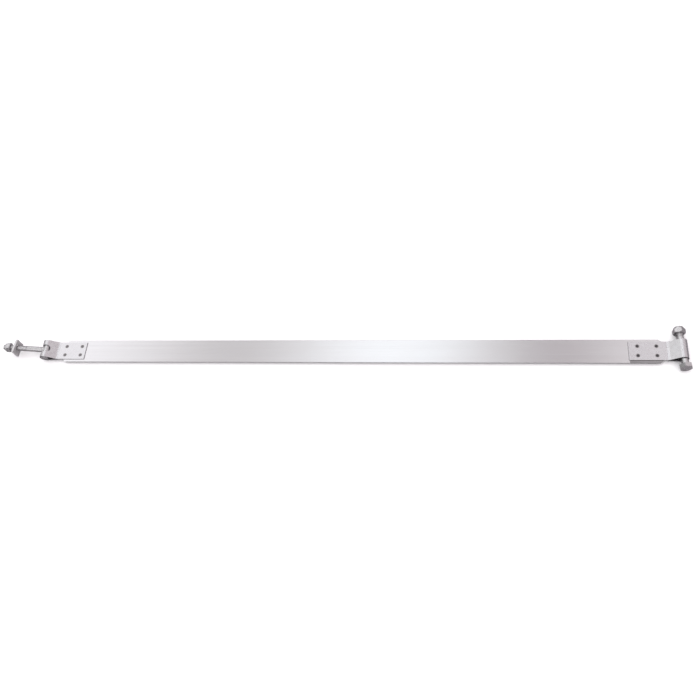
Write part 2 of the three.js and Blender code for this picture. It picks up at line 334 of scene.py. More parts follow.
# ---- Places, from the frame ----
joints = {joint["name"]: joint for joint in frame["joints"]}
left_eye = Vector(joints["t_bolt_swing"]["pos_m"])
right_eye = Vector(joints["hinge_bolt_turn"]["pos_m"])
across = Vector((0, 1, 0))
down = Vector((0, 0, -1))
left_end = Matrix.Translation(left_eye) @ turn(180, "Z")
right_end = Matrix.Translation(right_eye)
t_bolt = placed(left_eye, -Vector(joints["tension_nut_travel"]["axis"]), across)
hinge = placed(right_eye, joints["hinge_bolt_turn"]["axis"], down)
EYE_HEIGHT = left_eye.z / MM
LEAF_TOP = FLAP_TOP - SHEET - SEAM_GAP - EYE_HEIGHT  # of the tail leaf's end, from the eye's axis
TAIL_SLOPE = math.radians(TAIL_ANGLE)
LEAF_CLIMB = LEAF_TOP + EYE_BORE_RADIUS * math.cos(TAIL_SLOPE)
TAIL_LENGTH = EYE_BORE_RADIUS * math.sin(TAIL_SLOPE) + LEAF_CLIMB / math.tan(TAIL_SLOPE)


# ---- Materials: lengths here are metres, the shader's unit ----
NOISE_LOW = 0.3
NOISE_HIGH = 0.7
BEVEL_SAMPLES = 4
WORN_DOT = 0.8  # of the true and the rounded normal, where an edge is fully worn
# painted shade: the colour of the dark line at each flap's end and of the dark strip beside the right flap
PAINTED_SHADE = (0.22, 0.21, 0.215, 1)
SHADE_LINE_WIDTH = 0.0013  # of the painted shade line along a flap's free edge
SHADE_LINE_CORE = 0.0002
SHADE_LINE_COVER = 0.75
SHADE_LINE_FADE = 0.0006  # past the sides of the flap
# fades of the painted shade strip beside the right flap
SHADE_STRIP_FADE_X = 0.001
SHADE_STRIP_FADE_Y = 0.0004
STRAW_RING = (0.0055, 0.0032)  # from the weld's centre, where the tint starts and where it is full
BLUE_RING = (0.0036, 0.0028)
SCALE_RIM = (0.0021, 0.0030)  # where a weld's scale starts to fade, and where the rim's colour is full


class Graph:
    """A small hand for building one material's node tree."""

    def __init__(self, name):
        self.material = bpy.data.materials.new(name)
        self.material.use_nodes = True
        self.nodes = self.material.node_tree.nodes
        self.links = self.material.node_tree.links
        self.nodes.clear()
        self.shader = self.nodes.new("ShaderNodeBsdfPrincipled")
        self.output = self.nodes.new("ShaderNodeOutputMaterial")
        self.links.new(self.shader.outputs["BSDF"], self.output.inputs["Surface"])
        self.place = self.nodes.new("ShaderNodeTexCoord").outputs["Object"]

    def feed(self, socket, value):
        if isinstance(value, bpy.types.NodeSocket):
            self.links.new(value, socket)
        else:
            socket.default_value = value

    def scaled(self, scale):
        node = self.nodes.new("ShaderNodeMapping")
        self.links.new(self.place, node.inputs["Vector"])
        node.inputs["Scale"].default_value = scale
        return node.outputs["Vector"]

    def noise(self, scale, detail=4.0, roughness=0.55, distortion=0.0):
        """Noise from 0 to 1. Scale is per metre along X, Y and Z."""
        node = self.nodes.new("ShaderNodeTexNoise")
        self.links.new(self.scaled(scale), node.inputs["Vector"])
        node.inputs["Scale"].default_value = 1.0
        node.inputs["Detail"].default_value = detail
        node.inputs["Roughness"].default_value = roughness
        node.inputs["Distortion"].default_value = distortion
        return node.outputs["Fac"]

    def span(self, value, low, high, to_low=0.0, to_high=1.0):
        node = self.nodes.new("ShaderNodeMapRange")
        self.feed(node.inputs["Value"], value)
        node.inputs["From Min"].default_value = low
        node.inputs["From Max"].default_value = high
        node.inputs["To Min"].default_value = to_low
        node.inputs["To Max"].default_value = to_high
        return node.outputs["Result"]

    def level(self, noise, to_low=0.0, to_high=1.0):
        """The range in which most of a noise lies, stretched to another."""
        return self.span(noise, NOISE_LOW, NOISE_HIGH, to_low, to_high)

    def math(self, operation, a, b=0.0):
        node = self.nodes.new("ShaderNodeMath")
        node.operation = operation
        self.feed(node.inputs[0], a)
        self.feed(node.inputs[1], b)
        return node.outputs[0]

    def mix(self, factor, a, b):
        node = self.nodes.new("ShaderNodeMix")
        node.data_type = "RGBA"
        self.feed(node.inputs["Factor"], factor)
        self.feed(node.inputs["A"], a)
        self.feed(node.inputs["B"], b)
        return node.outputs["Result"]

    def along(self, axis):
        """Distance in metres along an axis of the piece's own frame."""
        node = self.nodes.new("ShaderNodeSeparateXYZ")
        self.links.new(self.place, node.inputs[0])
        return node.outputs[axis]

    def distance_to(self, point):
        """Distance in metres from a point of the piece's own frame."""
        node = self.nodes.new("ShaderNodeVectorMath")
        node.operation = "DISTANCE"
        self.links.new(self.place, node.inputs[0])
        node.inputs[1].default_value = point
        return node.outputs["Value"]

    def worn_edges(self, radius):
        """1 on convex edges and 0 on flats."""
        bevel = self.nodes.new("ShaderNodeBevel")
        bevel.samples = BEVEL_SAMPLES
        bevel.inputs["Radius"].default_value = radius
        geometry = self.nodes.new("ShaderNodeNewGeometry")
        dot = self.nodes.new("ShaderNodeVectorMath")
        dot.operation = "DOT_PRODUCT"
        self.links.new(bevel.outputs["Normal"], dot.inputs[0])
        self.links.new(geometry.outputs["Normal"], dot.inputs[1])
        return self.span(dot.outputs["Value"], 1.0, WORN_DOT)

    def bump(self, height, strength, distance, normal=None):
        node = self.nodes.new("ShaderNodeBump")
        self.feed(node.inputs["Height"], height)
        node.inputs["Strength"].default_value = strength
        node.inputs["Distance"].default_value = distance
        if normal is not None:
            self.links.new(normal, node.inputs["Normal"])
        return node.outputs["Normal"]

    def surface(self, color, roughness, normal, metallic=1.0, **constants):
        self.feed(self.shader.inputs["Base Color"], color)
        self.feed(self.shader.inputs["Roughness"], roughness)
        self.links.new(normal, self.shader.inputs["Normal"])
        self.shader.inputs["Metallic"].default_value = metallic
        for name, value in constants.items():
            self.shader.inputs[name.replace("_", " ")].default_value = value
        return self.material


def strip_steel(left_flap, right_flap, flap_half_width):
    """Cold-rolled stainless strip: grain along X, faint clouds, and painted shade along the edges of the
    flaps: a dark line at each flap's end and a dark strip beside the right flap's near side.
    """
    g = Graph("strip_steel")
    grain = g.noise((9, 2600, 900), detail=6, roughness=0.7)
    streak = g.noise((2.5, 420, 200), detail=3)
    cloud = g.noise((14, 40, 40), detail=3, distortion=0.4)
    scuff = g.noise((90, 260, 90), detail=8, roughness=0.75, distortion=1.2)
    tone = g.math("ADD", g.math("MULTIPLY", grain, 0.35), g.math("MULTIPLY", streak, 0.65))
    base = g.mix(g.level(tone), (0.725, 0.717, 0.725, 1), (0.785, 0.781, 0.788, 1))
    color = g.mix(g.span(cloud, 0.35, 0.75, 0.0, 0.35), base, (0.745, 0.725, 0.728, 1))
    from_middle = g.math("ABSOLUTE", g.along("Y"))
    under_flap = g.span(from_middle, flap_half_width + SHADE_LINE_FADE, flap_half_width)
    # painted shade: a dark line across the band along each flap's end, where the step meets the band
    for flap in (left_flap, right_flap):
        from_edge = g.math("ABSOLUTE", g.math("SUBTRACT", g.along("X"), flap))
        near_edge = g.span(from_edge, SHADE_LINE_WIDTH, SHADE_LINE_CORE, 0.0, SHADE_LINE_COVER)
        shade_line = g.math("MULTIPLY", near_edge, under_flap)
        color = g.mix(shade_line, color, PAINTED_SHADE)
    # painted shade: a dark strip on the band's near margin, alongside the right flap
    past_flap = g.span(g.along("X"), right_flap, right_flap + SHADE_STRIP_FADE_X)
    beside_flap = g.span(g.along("Y"), SHADE_STRIP_FADE_Y - flap_half_width, -flap_half_width)
    strip = g.math("MULTIPLY", past_flap, beside_flap)
    strip_shade = g.math("MULTIPLY", strip, g.span(cloud, 0.2, 0.8, 0.65, 0.85))
    color = g.mix(strip_shade, color, PAINTED_SHADE)
    rough = g.math("ADD", g.span(grain, 0.25, 0.75, 0.17, 0.23), g.span(scuff, 0.62, 0.8, 0.0, 0.12))
    fine = g.bump(grain, 0.35, 0.00002)
    broad = g.bump(cloud, 0.25, 0.0004, fine)
    return g.surface(color, rough, broad)


def bracket_steel(name, weld_places):
    """Folded stainless sheet with a dull milled skin, and a heat-tinted ring round each spot weld."""
    g = Graph(name)
    mottle = g.noise((160, 160, 160), detail=7, roughness=0.7, distortion=0.5)
    skin = g.noise((1500, 2600, 1500), detail=3)
    cloud = g.noise((45, 45, 45), detail=2)
    base = g.mix(g.level(mottle), (0.70, 0.69, 0.705, 1), (0.82, 0.815, 0.83, 1))
    color = g.mix(g.span(cloud, 0.4, 0.7, 0.0, 0.3), base, (0.73, 0.71, 0.72, 1))
    for place in weld_places:
        distance = g.distance_to(place)
        straw = g.span(distance, *STRAW_RING, 0.0, 0.22)
        blue = g.span(distance, *BLUE_RING, 0.0, 0.35)
        color = g.mix(straw, color, (0.58, 0.54, 0.50, 1))
        color = g.mix(blue, color, (0.32, 0.31, 0.35, 1))
    rough = g.level(mottle, 0.22, 0.34)
    fine = g.bump(skin, 0.3, 0.00003)
    broad = g.bump(mottle, 0.22, 0.0001, fine)
    return g.surface(color, rough, broad)


def sheared_edge_and_shade():
    """The cut edges of the sheet, with the shear's vertical drag lines: darker, partly as a duller sheared
    face and partly as painted shade.
    """
    g = Graph("sheared_edge_and_shade")
    drag = g.noise((1800, 1800, 260), detail=5, roughness=0.7)
    # partly painted shade: these dark tones stand in for the shade on the sides and cut faces
    color = g.mix(g.level(drag), (0.20, 0.19, 0.195, 1), (0.42, 0.41, 0.42, 1))
    return g.surface(color, g.level(drag, 0.34, 0.52), g.bump(drag, 0.5, 0.00005))


def weld_steel(name, darkest, lightest):
    """A spot weld's dish: heat scale, paler towards the rim."""
    g = Graph(name)
    scale = g.noise((900, 900, 900), detail=6, roughness=0.7)
    distance = g.distance_to((0, 0, 0))
    lightest_color = (lightest, lightest * 0.94, lightest * 0.96, 1)
    dark = g.mix(g.level(scale), (darkest, darkest, darkest, 1), lightest_color)
    color = g.mix(g.span(distance, *SCALE_RIM), dark, (0.44, 0.42, 0.43, 1))
    return g.surface(color, g.level(scale, 0.38, 0.6), g.bump(scale, 0.5, 0.00008))


def bead_steel():
    """A bare weld bead with light oxide."""
    g = Graph("weld_bead")
    oxide = g.noise((500, 500, 500), detail=5, roughness=0.65)
    color = g.mix(g.span(oxide, 0.35, 0.7), (0.36, 0.33, 0.31, 1), (0.60, 0.57, 0.55, 1))
    return g.surface(color, g.level(oxide, 0.3, 0.5), g.bump(oxide, 0.4, 0.00006))


def fastener_steel(name, low_rough, high_rough):
    """Bright cold-formed stainless steel with turning marks about Z, fine dents and rubbed edges."""
    g = Graph(name)
    marks = g.noise((60, 60, 3200), detail=3)
    dents = g.noise((420, 420, 420), detail=6, roughness=0.65, distortion=0.4)
    base = g.mix(g.level(dents), (0.62, 0.61, 0.615, 1), (0.76, 0.755, 0.76, 1))
    color = g.mix(g.worn_edges(0.0004), base, (0.86, 0.86, 0.87, 1))
    rough = g.span(dents, 0.3, 0.72, low_rough, high_rough)
    turned_normal = g.bump(marks, 0.12, 0.00003)
    return g.surface(color, rough, g.bump(dents, 0.25, 0.00006, turned_normal), metallic=0.95)


def plate_steel():
    """Sheared flat bar: a rolled skin with scratches and rubbed edges."""
    g = Graph("plate_steel")
    skin = g.noise((300, 300, 300), detail=7, roughness=0.7)
    scratch = g.noise((2400, 130, 300), detail=4, distortion=0.5)
    base = g.mix(g.level(skin), (0.70, 0.69, 0.695, 1), (0.82, 0.81, 0.815, 1))
    color = g.mix(g.worn_edges(0.0005), base, (0.83, 0.83, 0.84, 1))
    rough = g.math("ADD", g.level(skin, 0.48, 0.62), g.span(scratch, 0.6, 0.8, 0.0, 0.1))
    normal = g.bump(skin, 0.3, 0.00006, g.bump(scratch, 0.2, 0.00003))
    return g.surface(color, rough, normal, metallic=0.82)


def nylon():
    """The pale natural nylon ring of a lock nut."""
    g = Graph("nylon")
    grain = g.noise((700, 700, 700), detail=3)
    color = g.mix(g.level(grain), (0.70, 0.73, 0.76, 1), (0.78, 0.81, 0.84, 1))
    normal = g.bump(grain, 0.2, 0.00004)
    return g.surface(color, g.level(grain, 0.42, 0.55), normal, metallic=0.0, Subsurface_Weight=0.15)


# ---- Band ----

def band_outline(half_length, half_width, cut):
    """The band's outline with its corners cut at 45 degrees."""
    x, y = half_length, half_width
    return [(-x, y - cut), (-x, cut - y), (cut - x, -y), (x - cut, -y),
            (x, cut - y), (x, y - cut), (x - cut, y), (cut - x, y)]


def make_band():
    low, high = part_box("strap_band")
    size = (high - low) / MM
    rings = []
    quarter = [math.radians(angle) for angle in COARSE_QUARTER]
    lower = [(1 - math.sin(a), 1 - math.cos(a)) for a in quarter]
    levels = lower + [(inset, size.z / BAND_EDGE_RADIUS - lift) for inset, lift in reversed(lower)]
    for inset, lift in levels:
        step = inset * BAND_EDGE_RADIUS
        cut = BAND_CORNER_CUT - step * (2 - math.sqrt(2))
        outline = band_outline(size.x / 2 - step, size.y / 2 - step, cut)
        rings.append([Vector((x, y, lift * BAND_EDGE_RADIUS)) for x, y in outline])
    band = make_object("band", closed_loft(rings))
    # the band's sides and rounded edges take the edge material, whose dark colour is partly painted shade
    for face in band.data.polygons:
        face.material_index = 0 if abs(face.normal.z) > FLAT_NORMAL else 1
    middle = (low.x + high.x) / 2
    place = Matrix.Translation((middle, (low.y + high.y) / 2, low.z))
    flap_ends = (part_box("left_bracket")[1].x - middle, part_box("right_bracket")[0].x - middle)
    steel = strip_steel(*flap_ends, BRACKET_WIDTH / 2 * MM)
    finish_piece(band, place, "strap", ["strap_band"], [steel, edge_material])


# ---- Brackets: drawn with the eye's axis at the origin, the band towards -X ----

def bracket_outline(length):
    """Side view of the folded sheet: flap, rise, eye and tail leaf."""
    flap_top = FLAP_TOP - EYE_HEIGHT
    flap_under = flap_top - SHEET
    flap_middle = flap_top - SHEET / 2
    eye_middle = EYE_BORE_RADIUS + SHEET / 2
    rise = math.radians(RISE_ANGLE)
    slope = (eye_middle * math.cos(rise) - flap_middle) / math.sin(rise)
    corner_x = -eye_middle * math.sin(rise) - slope * math.cos(rise)
    bend = (corner_x - BEND_RADIUS * math.tan(rise / 2), flap_middle + BEND_RADIUS)
    crest = 90 + RISE_ANGLE
    leaf_start = -90 - TAIL_ANGLE
    return [
        (-length, flap_under),
        *arc(bend, BEND_RADIUS + SHEET / 2, -90, RISE_ANGLE - 90),
        *arc((0, 0), EYE_BORE_RADIUS, crest, leaf_start),
        (-TAIL_LENGTH, LEAF_TOP),
        (-TAIL_LENGTH, LEAF_TOP - SHEET / math.cos(TAIL_SLOPE)),
        *arc((0, 0), EYE_OUTER_RADIUS, leaf_start, crest),
        *arc(bend, BEND_RADIUS - SHEET / 2, RISE_ANGLE - 90, -90),
        (-length, flap_top),
    ]


def prism(outline, depth, to_point):
    """A closed prism of an outline, with its end faces in the second material."""
    half = depth / 2
    bm = closed_loft([[to_point(u, v, side) for u, v in outline] for side in (-half, half)])
    bm.faces.ensure_lookup_table()
    for face in bm.faces[-2:]:
        face.material_index = 1
    return bm


def add_cutter(bm, outline, low, high):
    """Adds an upright prism, whose cut faces take the second material, to a cutting mesh."""
    rows = add_rings(bm, [[Vector((x, y, z)) for x, y in outline] for z in (low, high)])
    bm.faces.new(rows[0][::-1])
    bm.faces.new(rows[1])
    for face in bm.faces:
        face.material_index = 1


def make_bracket(name, node, weld_nodes, place, notched):
    low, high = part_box(node)
    inverse = place.inverted()
    length = max(-(inverse @ low).x, -(inverse @ high).x) / MM
    bm = prism(bracket_outline(length), BRACKET_WIDTH, lambda x, z, y: Vector((x, y, z)))
    cutters = bmesh.new()
    spots = []
    for weld in weld_nodes:
        weld_low, weld_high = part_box(weld)
        spot = inverse @ ((weld_low + weld_high) / 2)
        spots.append((spot.x, spot.y, FLAP_TOP * MM - left_eye.z))
        add_cutter(cutters, arc((spot.x / MM, spot.y / MM), SPOT_RADIUS, 0, 360 - ARC_STEP), -EYE_HEIGHT, 0)
    if notched:
        radius = NOTCH_WIDTH / 2
        reach = 2 * EYE_OUTER_RADIUS
        outline = [*arc((radius - NOTCH_REACH, 0), radius, 90, 270), (reach, -radius), (reach, radius)]
        add_cutter(cutters, outline, -reach, reach)
    cut = soften_edges(combined(name, bm, cutters, "DIFFERENCE"), EDGE_RADIUS)
    piece = make_object(name, cut)
    steel = bracket_steel(name + "_steel", spots)
    finish_piece(piece, place, "strap", [node], [steel, edge_material])


def make_spot_weld(name, node, material):
    """A spot weld: a dish pressed into the flap, with a low ring of metal pushed up round it."""
    low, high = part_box(node)
    bottom = (low.z - left_eye.z) / MM + EYE_HEIGHT - FLAP_TOP
    dish = [(SPOT_RADIUS * share, -SPOT_DEPTH * (1 - share ** 2) - DISH_DROP) for share in DISH_SHARES]
    rim = [(SPOT_RADIUS + past, height) for past, height in SPOT_RIM]
    root = SPOT_RADIUS - SPOT_FIT
    shoulder = [(root, bottom), (root, SPOT_ROOT), (rim[-1][0], RIM_UNDERSIDE)]
    piece = make_object(name, turned([*shoulder, *reversed(rim), *reversed(dish)], SPOT_SIDES))
    centre = (low + high) / 2
    place = Matrix.Translation((centre.x, centre.y, FLAP_TOP * MM))
    finish_piece(piece, place, "strap", [node], [material])


def make_bead(name, node, place):
    """The fillet weld that closes the eye, as a rippled bead."""
    top = SHEET - EYE_HEIGHT
    angles = [math.radians(angle) for angle in FINE_QUARTER]
    rings = []
    for i in range(BEAD_STEPS + 1):
        share = i / BEAD_STEPS
        y = (share - 0.5) * BEAD_LENGTH
        ripple = abs(math.sin(math.pi * BEAD_RIPPLES * share))
        swell = 1 - BEAD_RIPPLE_SIZE + BEAD_RIPPLE_SIZE * ripple
        ends = min(1.0, BEAD_END_SIZE + BEAD_END_GROWTH * min(share, 1 - share))
        leg = BEAD_LEG * swell * ends
        face = [(-TAIL_LENGTH - leg * math.cos(a), top - leg * math.sin(a)) for a in angles]
        rings.append([Vector((x, y, z)) for x, z in [(-TAIL_LENGTH, top), *face]])
    piece = make_object(name, closed_loft(rings))
    finish_piece(piece, place, "strap", [node], [bead_material])


# ---- Threads ----

def smooth_step(x):
    x = min(1.0, max(0.0, x))
    return x * x * (3 - 2 * x)


def thread_radius(z, angle_share, rod):
    """Radius of a rod at a height and a share of a turn: shank, thread with its run-out, tip bevel."""
    run_out = smooth_step((z - rod["from"]) / (THREAD_RUN_OUT * rod["pitch"]))
    depth = THREAD_DEPTH * rod["pitch"] * run_out
    phase = ((z - rod["from"]) / rod["pitch"] - angle_share) % 1.0
    flank = min(abs(phase - 0.5), 0.5)
    share = min(1.0, max(0.0, (flank - THREAD_CREST) / THREAD_FLANK))
    bevel = rod["radius"] - TIP_BEVEL + (rod["to"] - z)
    return min(rod["radius"] - depth * share, bevel)


def add_thread(bm, rod, sides):
    """The threaded stretch of a rod. Its rows follow the helix, and are clamped to its two ends."""
    turns = math.ceil((rod["to"] - rod["from"]) / rod["pitch"]) + 2
    levels = [turn_index + row_share - 1 for turn_index in range(turns) for row_share in THREAD_ROWS]
    rows = []
    for level in levels:
        row = []
        for side in range(sides):
            share = side / sides
            z = min(rod["to"], max(rod["from"], rod["from"] + rod["pitch"] * (level + share)))
            row.append(bm.verts.new(polar(thread_radius(z, share, rod), 360 * share, z)))
        rows.append(row)
    for i in range(len(rows) - len(THREAD_ROWS) - 1):
        for j in range(sides):
            wrap = len(THREAD_ROWS) if j == sides - 1 else 0
            k = (j + 1) % sides
            corners = (rows[i][j], rows[i + wrap][k], rows[i + 1 + wrap][k], rows[i + 1][j])
            bm.faces.new(corners)


def rod_ring(rod, z, sides):
    """The points of a rod's surface at one height."""
    return [polar(thread_radius(z, i / sides, rod), 360 * i / sides, z) for i in range(sides)]


def threaded_rod(start_rings, rod, sides):
    """A closed rod: its plain rings, then the thread, then a flat tip."""
    bm = bmesh.new()
    rows = add_rings(bm, [*start_rings, rod_ring(rod, rod["from"], sides)])
    bm.faces.new(rows[0][::-1])
    add_thread(bm, rod, sides)
    bm.faces.new([bm.verts.new(point) for point in rod_ring(rod, rod["to"], sides)])
    bmesh.ops.remove_doubles(bm, verts=bm.verts, dist=MERGE_DISTANCE)
    return bm


# ---- Hexagons ----

def hex_radius(angle, flats, corner_angle):
    """Distance from the axis to a hexagon's side, at an angle."""
    from_middle = (angle - corner_angle) % HEX_SPACING - HEX_SPACING / 2
    return flats / 2 / math.cos(math.radians(from_middle))


def hex_angles(corner_angle):
    return [corner_angle + 360 * i / HEX_SIDES for i in range(HEX_SIDES)]


def hex_ring(flats, corner_angle, level, chamfer_from=None):
    """A ring on the hexagon's side. With chamfer_from, it lies where a cone from there cuts the side."""
    ring = []
    slope = math.tan(math.radians(HEX_CHAMFER_ANGLE))
    for angle in hex_angles(corner_angle):
        radius = hex_radius(angle, flats, corner_angle)
        drop = (radius - flats / 2 + HEX_MARGIN) * slope
        z = level if chamfer_from is None else chamfer_from[0] + chamfer_from[1] * drop
        ring.append(polar(radius, angle, z))
    return ring


def hex_circle(radius, z, corner_angle):
    return [polar(radius, angle, z) for angle in hex_angles(corner_angle)]


# ---- T-bolt ----

def make_cross_bar():
    half = BAR_LENGTH / 2
    bar_profile = [(CORE_RADIUS, -half), (BAR_RADIUS, -half), (BAR_RADIUS, half), (CORE_RADIUS, half)]
    bar = turned(rounded(bar_profile, BAR_ROUNDING), BAR_SIDES)
    bmesh.ops.rotate(bar, cent=(0, 0, 0), matrix=turn(90, "X").to_3x3(), verts=bar.verts)
    boss_profile = [(CORE_RADIUS, 0), (BOSS_RADIUS, 0),
                    (BOSS_RADIUS, BOSS_HEIGHT), (CORE_RADIUS, BOSS_HEIGHT)]
    boss = turned(rounded(boss_profile, BOSS_ROUNDING), BOSS_SIDES)
    piece = make_object("cross_bar", combined("cross_bar", bar, boss, "UNION"))
    finish_piece(piece, t_bolt, "t_bolt", ["trunnion_bar"], [fastener_material])


def make_stud():
    rod = {"radius": STUD_RADIUS, "from": STUD_THREAD_FROM, "to": STUD_REACH, "pitch": STUD_PITCH}
    neck = STUD_RADIUS - STUD_NECK_INSET
    start = [circle(neck, BOSS_HEIGHT - STUD_ROOT, THREAD_SIDES),
             circle(neck, BOSS_HEIGHT + STUD_NECK, THREAD_SIDES),
             circle(STUD_RADIUS, BOSS_HEIGHT + STUD_SHOULDER, THREAD_SIDES)]
    piece = make_object("stud", threaded_rod(start, rod, THREAD_SIDES))
    finish_piece(piece, t_bolt, "t_bolt", ["tension_stud"], [stud_material])


def rounded_rectangle(width, height, corner):
    """Points of a rectangle with round corners, centred on the origin."""
    points = []
    for quarter, (sx, sy) in enumerate(((1, 1), (-1, 1), (-1, -1), (1, -1))):
        centre = (sx * (width / 2 - corner), sy * (height / 2 - corner))
        points += [tuple(Vector(centre) + polar(corner, 90 * quarter + a).xy) for a in FINE_QUARTER]
    filled = []
    for i, point in enumerate(points):
        following = points[(i + 1) % len(points)]
        gap = Vector(following) - Vector(point)
        steps = max(1, round(gap.length / PLATE_STEP))
        filled += [tuple(Vector(point) + gap * s / steps) for s in range(steps)]
    return filled


def make_plate():
    outline = rounded_rectangle(PLATE_HEIGHT, PLATE_WIDTH, PLATE_CORNER_RADIUS)
    half = PLATE_THICKNESS / 2
    rim = []
    for angle in COARSE_QUARTER:
        point = polar(1, angle - 90)
        rim.append((PLATE_EDGE_RADIUS * (1 - point.x), -half + PLATE_EDGE_RADIUS * (1 + point.y)))
    levels = rim + [(inset, -z) for inset, z in reversed(rim)]
    outer = []
    for inset, z in levels:
        x_share, y_share = 1 - 2 * inset / PLATE_HEIGHT, 1 - 2 * inset / PLATE_WIDTH
        outer.append([Vector((x * x_share, y * y_share, z)) for x, y in outline])
    chamfer = PLATE_HOLE_CHAMFER
    hole = ((PLATE_HOLE_RADIUS + chamfer, half), (PLATE_HOLE_RADIUS, half - chamfer),
            (PLATE_HOLE_RADIUS, chamfer - half), (PLATE_HOLE_RADIUS + chamfer, -half))
    directions = [Vector((x, y, 0)).normalized() for x, y in outline]
    inner = [[direction * radius + Vector((0, 0, z)) for direction in directions] for radius, z in hole]
    piece = make_object("washer_plate", ring_loft([*outer, *inner]))
    lean = turn(-PLATE_YAW, "X") @ turn(-PLATE_LEAN - STUD_TILT, "Y")
    place = t_bolt @ Matrix.Translation((0, 0, PLATE_REACH * MM)) @ lean
    finish_piece(piece, place, "load_plate", ["load_plate"], [plate_material])


# ---- Lock nuts: bearing face at the origin, the collar towards +Z ----

def make_lock_nut(name, node, nut, axis_frame, body, carrier):
    corner = HEX_SPACING / 2 + nut["turn"]
    flats, height = nut["flats"], nut["height"]
    bore = nut["thread"] + THREAD_CLEARANCE
    inside = flats / 2 - HEX_MARGIN
    collar = flats / 2 - COLLAR_INSET
    dome = height - nut["hex"]
    recess = nut["thread"] + PART_GAP + INSERT_WIDTH + PART_GAP
    recess_floor = height - LIP_THICKNESS - INSERT_HEIGHT - 2 * PART_GAP
    lip = recess - LIP_THICKNESS - LIP_OVERHANG
    dome_arc = []
    for angle in DOME_ANGLES:
        a = math.radians(angle)
        radius = collar - dome * DOME_ROUNDNESS * (1 - math.cos(a))
        dome_arc.append((radius, nut["hex"] + DOME_START + (dome - DOME_START) * math.sin(a)))
    hex_top = nut["hex"] - HEX_TOP_DROP
    rings = [
        hex_circle(bore + COUNTERSINK, 0, corner),
        hex_circle(inside - FACE_INSET, 0, corner),
        hex_circle(inside, FACE_LIFT, corner),
        hex_ring(flats, corner, 0, (FACE_LIFT, 1)),
        hex_ring(flats, corner, 0, (hex_top, -1)),
        hex_circle(inside, hex_top, corner),
        hex_circle(collar + COLLAR_FILLET, nut["hex"] + COLLAR_RISE, corner),
        *[hex_circle(radius, z, corner) for radius, z in dome_arc],
        hex_circle(lip + LIP_ROUNDING, height, corner),
        hex_circle(lip, height - LIP_DROP, corner),
        hex_circle(lip, height - LIP_THICKNESS, corner),
        hex_circle(recess, height - LIP_THICKNESS, corner),
        hex_circle(recess, recess_floor, corner),
        hex_circle(bore, recess_floor, corner),
        hex_circle(bore, COUNTERSINK, corner),
    ]
    place = axis_frame @ Matrix.Translation((0, 0, nut["reach"] * MM))
    shell = make_object(name, ring_loft(rings))
    finish_piece(shell, place, body, [node], [nut_material])
    inner, outer = nut["thread"] + THREAD_CLEARANCE / 2, recess - INSERT_FIT
    top = height - LIP_THICKNESS - PART_GAP / 2
    bottom = top - INSERT_HEIGHT
    soft = INSERT_ROUNDING
    section = [(inner + soft, bottom), (outer - soft, bottom), (outer, bottom + soft),
               (outer, top - soft), (outer - soft, top), (inner + 2 * soft, top),
               (inner, top - 2 * soft), (inner, bottom + soft)]
    ring = make_object(name + "_ring", ring_loft([circle(radius, z, INSERT_SIDES) for radius, z in section]))
    finish_piece(ring, place, carrier, [node + "_insert"], [nylon_material])


# ---- Hinge bolt: drawn along +Z, with the middle of the eye at the origin ----

def make_hinge_bolt():
    corner = HEX_SPACING / 2 - HEAD_TURN
    face = -HEAD_REACH
    top = face - HEAD_HEIGHT
    inside = HEAD_FLATS / 2 - HEX_MARGIN
    length = HINGE_NUT["reach"] + HINGE_NUT["height"] + TIP_PAST_NUT
    rings = [
        hex_circle(inside - CROWN_INSET, top, corner),
        hex_circle(inside - EDGE_BREAK, top + CROWN_DROP, corner),
        hex_circle(inside, top + FACE_LIFT, corner),
        hex_ring(HEAD_FLATS, corner, 0, (top + FACE_LIFT, 1)),
        hex_ring(HEAD_FLATS, corner, face - WASHER_FACE),
        hex_circle(inside - EDGE_BREAK, face - WASHER_FACE, corner),
        hex_circle(inside - EDGE_BREAK, face, corner),
        hex_circle(SHANK_RADIUS + HEAD_FILLET, face, corner),
        hex_circle(SHANK_RADIUS + EDGE_BREAK, face + EDGE_BREAK, corner),
        hex_circle(SHANK_RADIUS, face + HEAD_FILLET, corner),
    ]
    rod = {"radius": SHANK_RADIUS, "from": HINGE_THREAD_FROM, "to": length, "pitch": HINGE_PITCH}
    aligned = [[turn(-corner, "Z") @ point for point in ring] for ring in rings]
    bm = threaded_rod(aligned, rod, HEX_SIDES)
    piece = make_object("hinge_bolt_body", bm)
    place = hinge @ turn(corner, "Z")
    finish_piece(piece, place, "hinge_bolt", ["hinge_bolt"], [bolt_material])


# ---- Object ----
edge_material = sheared_edge_and_shade()
weld_materials = {
    "left": weld_steel("weld_scale_left", 0.16, 0.34),
    "right": weld_steel("weld_scale_right", 0.05, 0.16),
}
bead_material = bead_steel()
fastener_material = fastener_steel("bar_steel", 0.20, 0.32)
stud_material = fastener_steel("stud_steel", 0.16, 0.28)
nut_material = fastener_steel("nut_steel", 0.20, 0.34)
bolt_material = fastener_steel("bolt_steel", 0.18, 0.30)
plate_material = plate_steel()
nylon_material = nylon()

make_band()
for side, place, notched in (("left", left_end, True), ("right", right_end, False)):
    welds = [f"{side}_spot_weld_{i}" for i in (1, 2, 3, 4)]
    make_bracket(f"eye_bracket_{side}", f"{side}_bracket", welds, place, notched)
    for i, weld in enumerate(welds, 1):
        make_spot_weld(f"weld_{side}_{i}", weld, weld_materials[side])
    make_bead(f"bead_{side}", f"{side}_closing_weld", place)
make_cross_bar()
make_stud()
make_plate()
make_lock_nut("tension_lock_nut", "tension_nut", TENSION_NUT, t_bolt, "tension_nut", "tension_nut_carrier")
make_hinge_bolt()
make_lock_nut("hinge_lock_nut", "hinge_nut", HINGE_NUT, hinge, "hinge_nut", "hinge_nut_carrier")


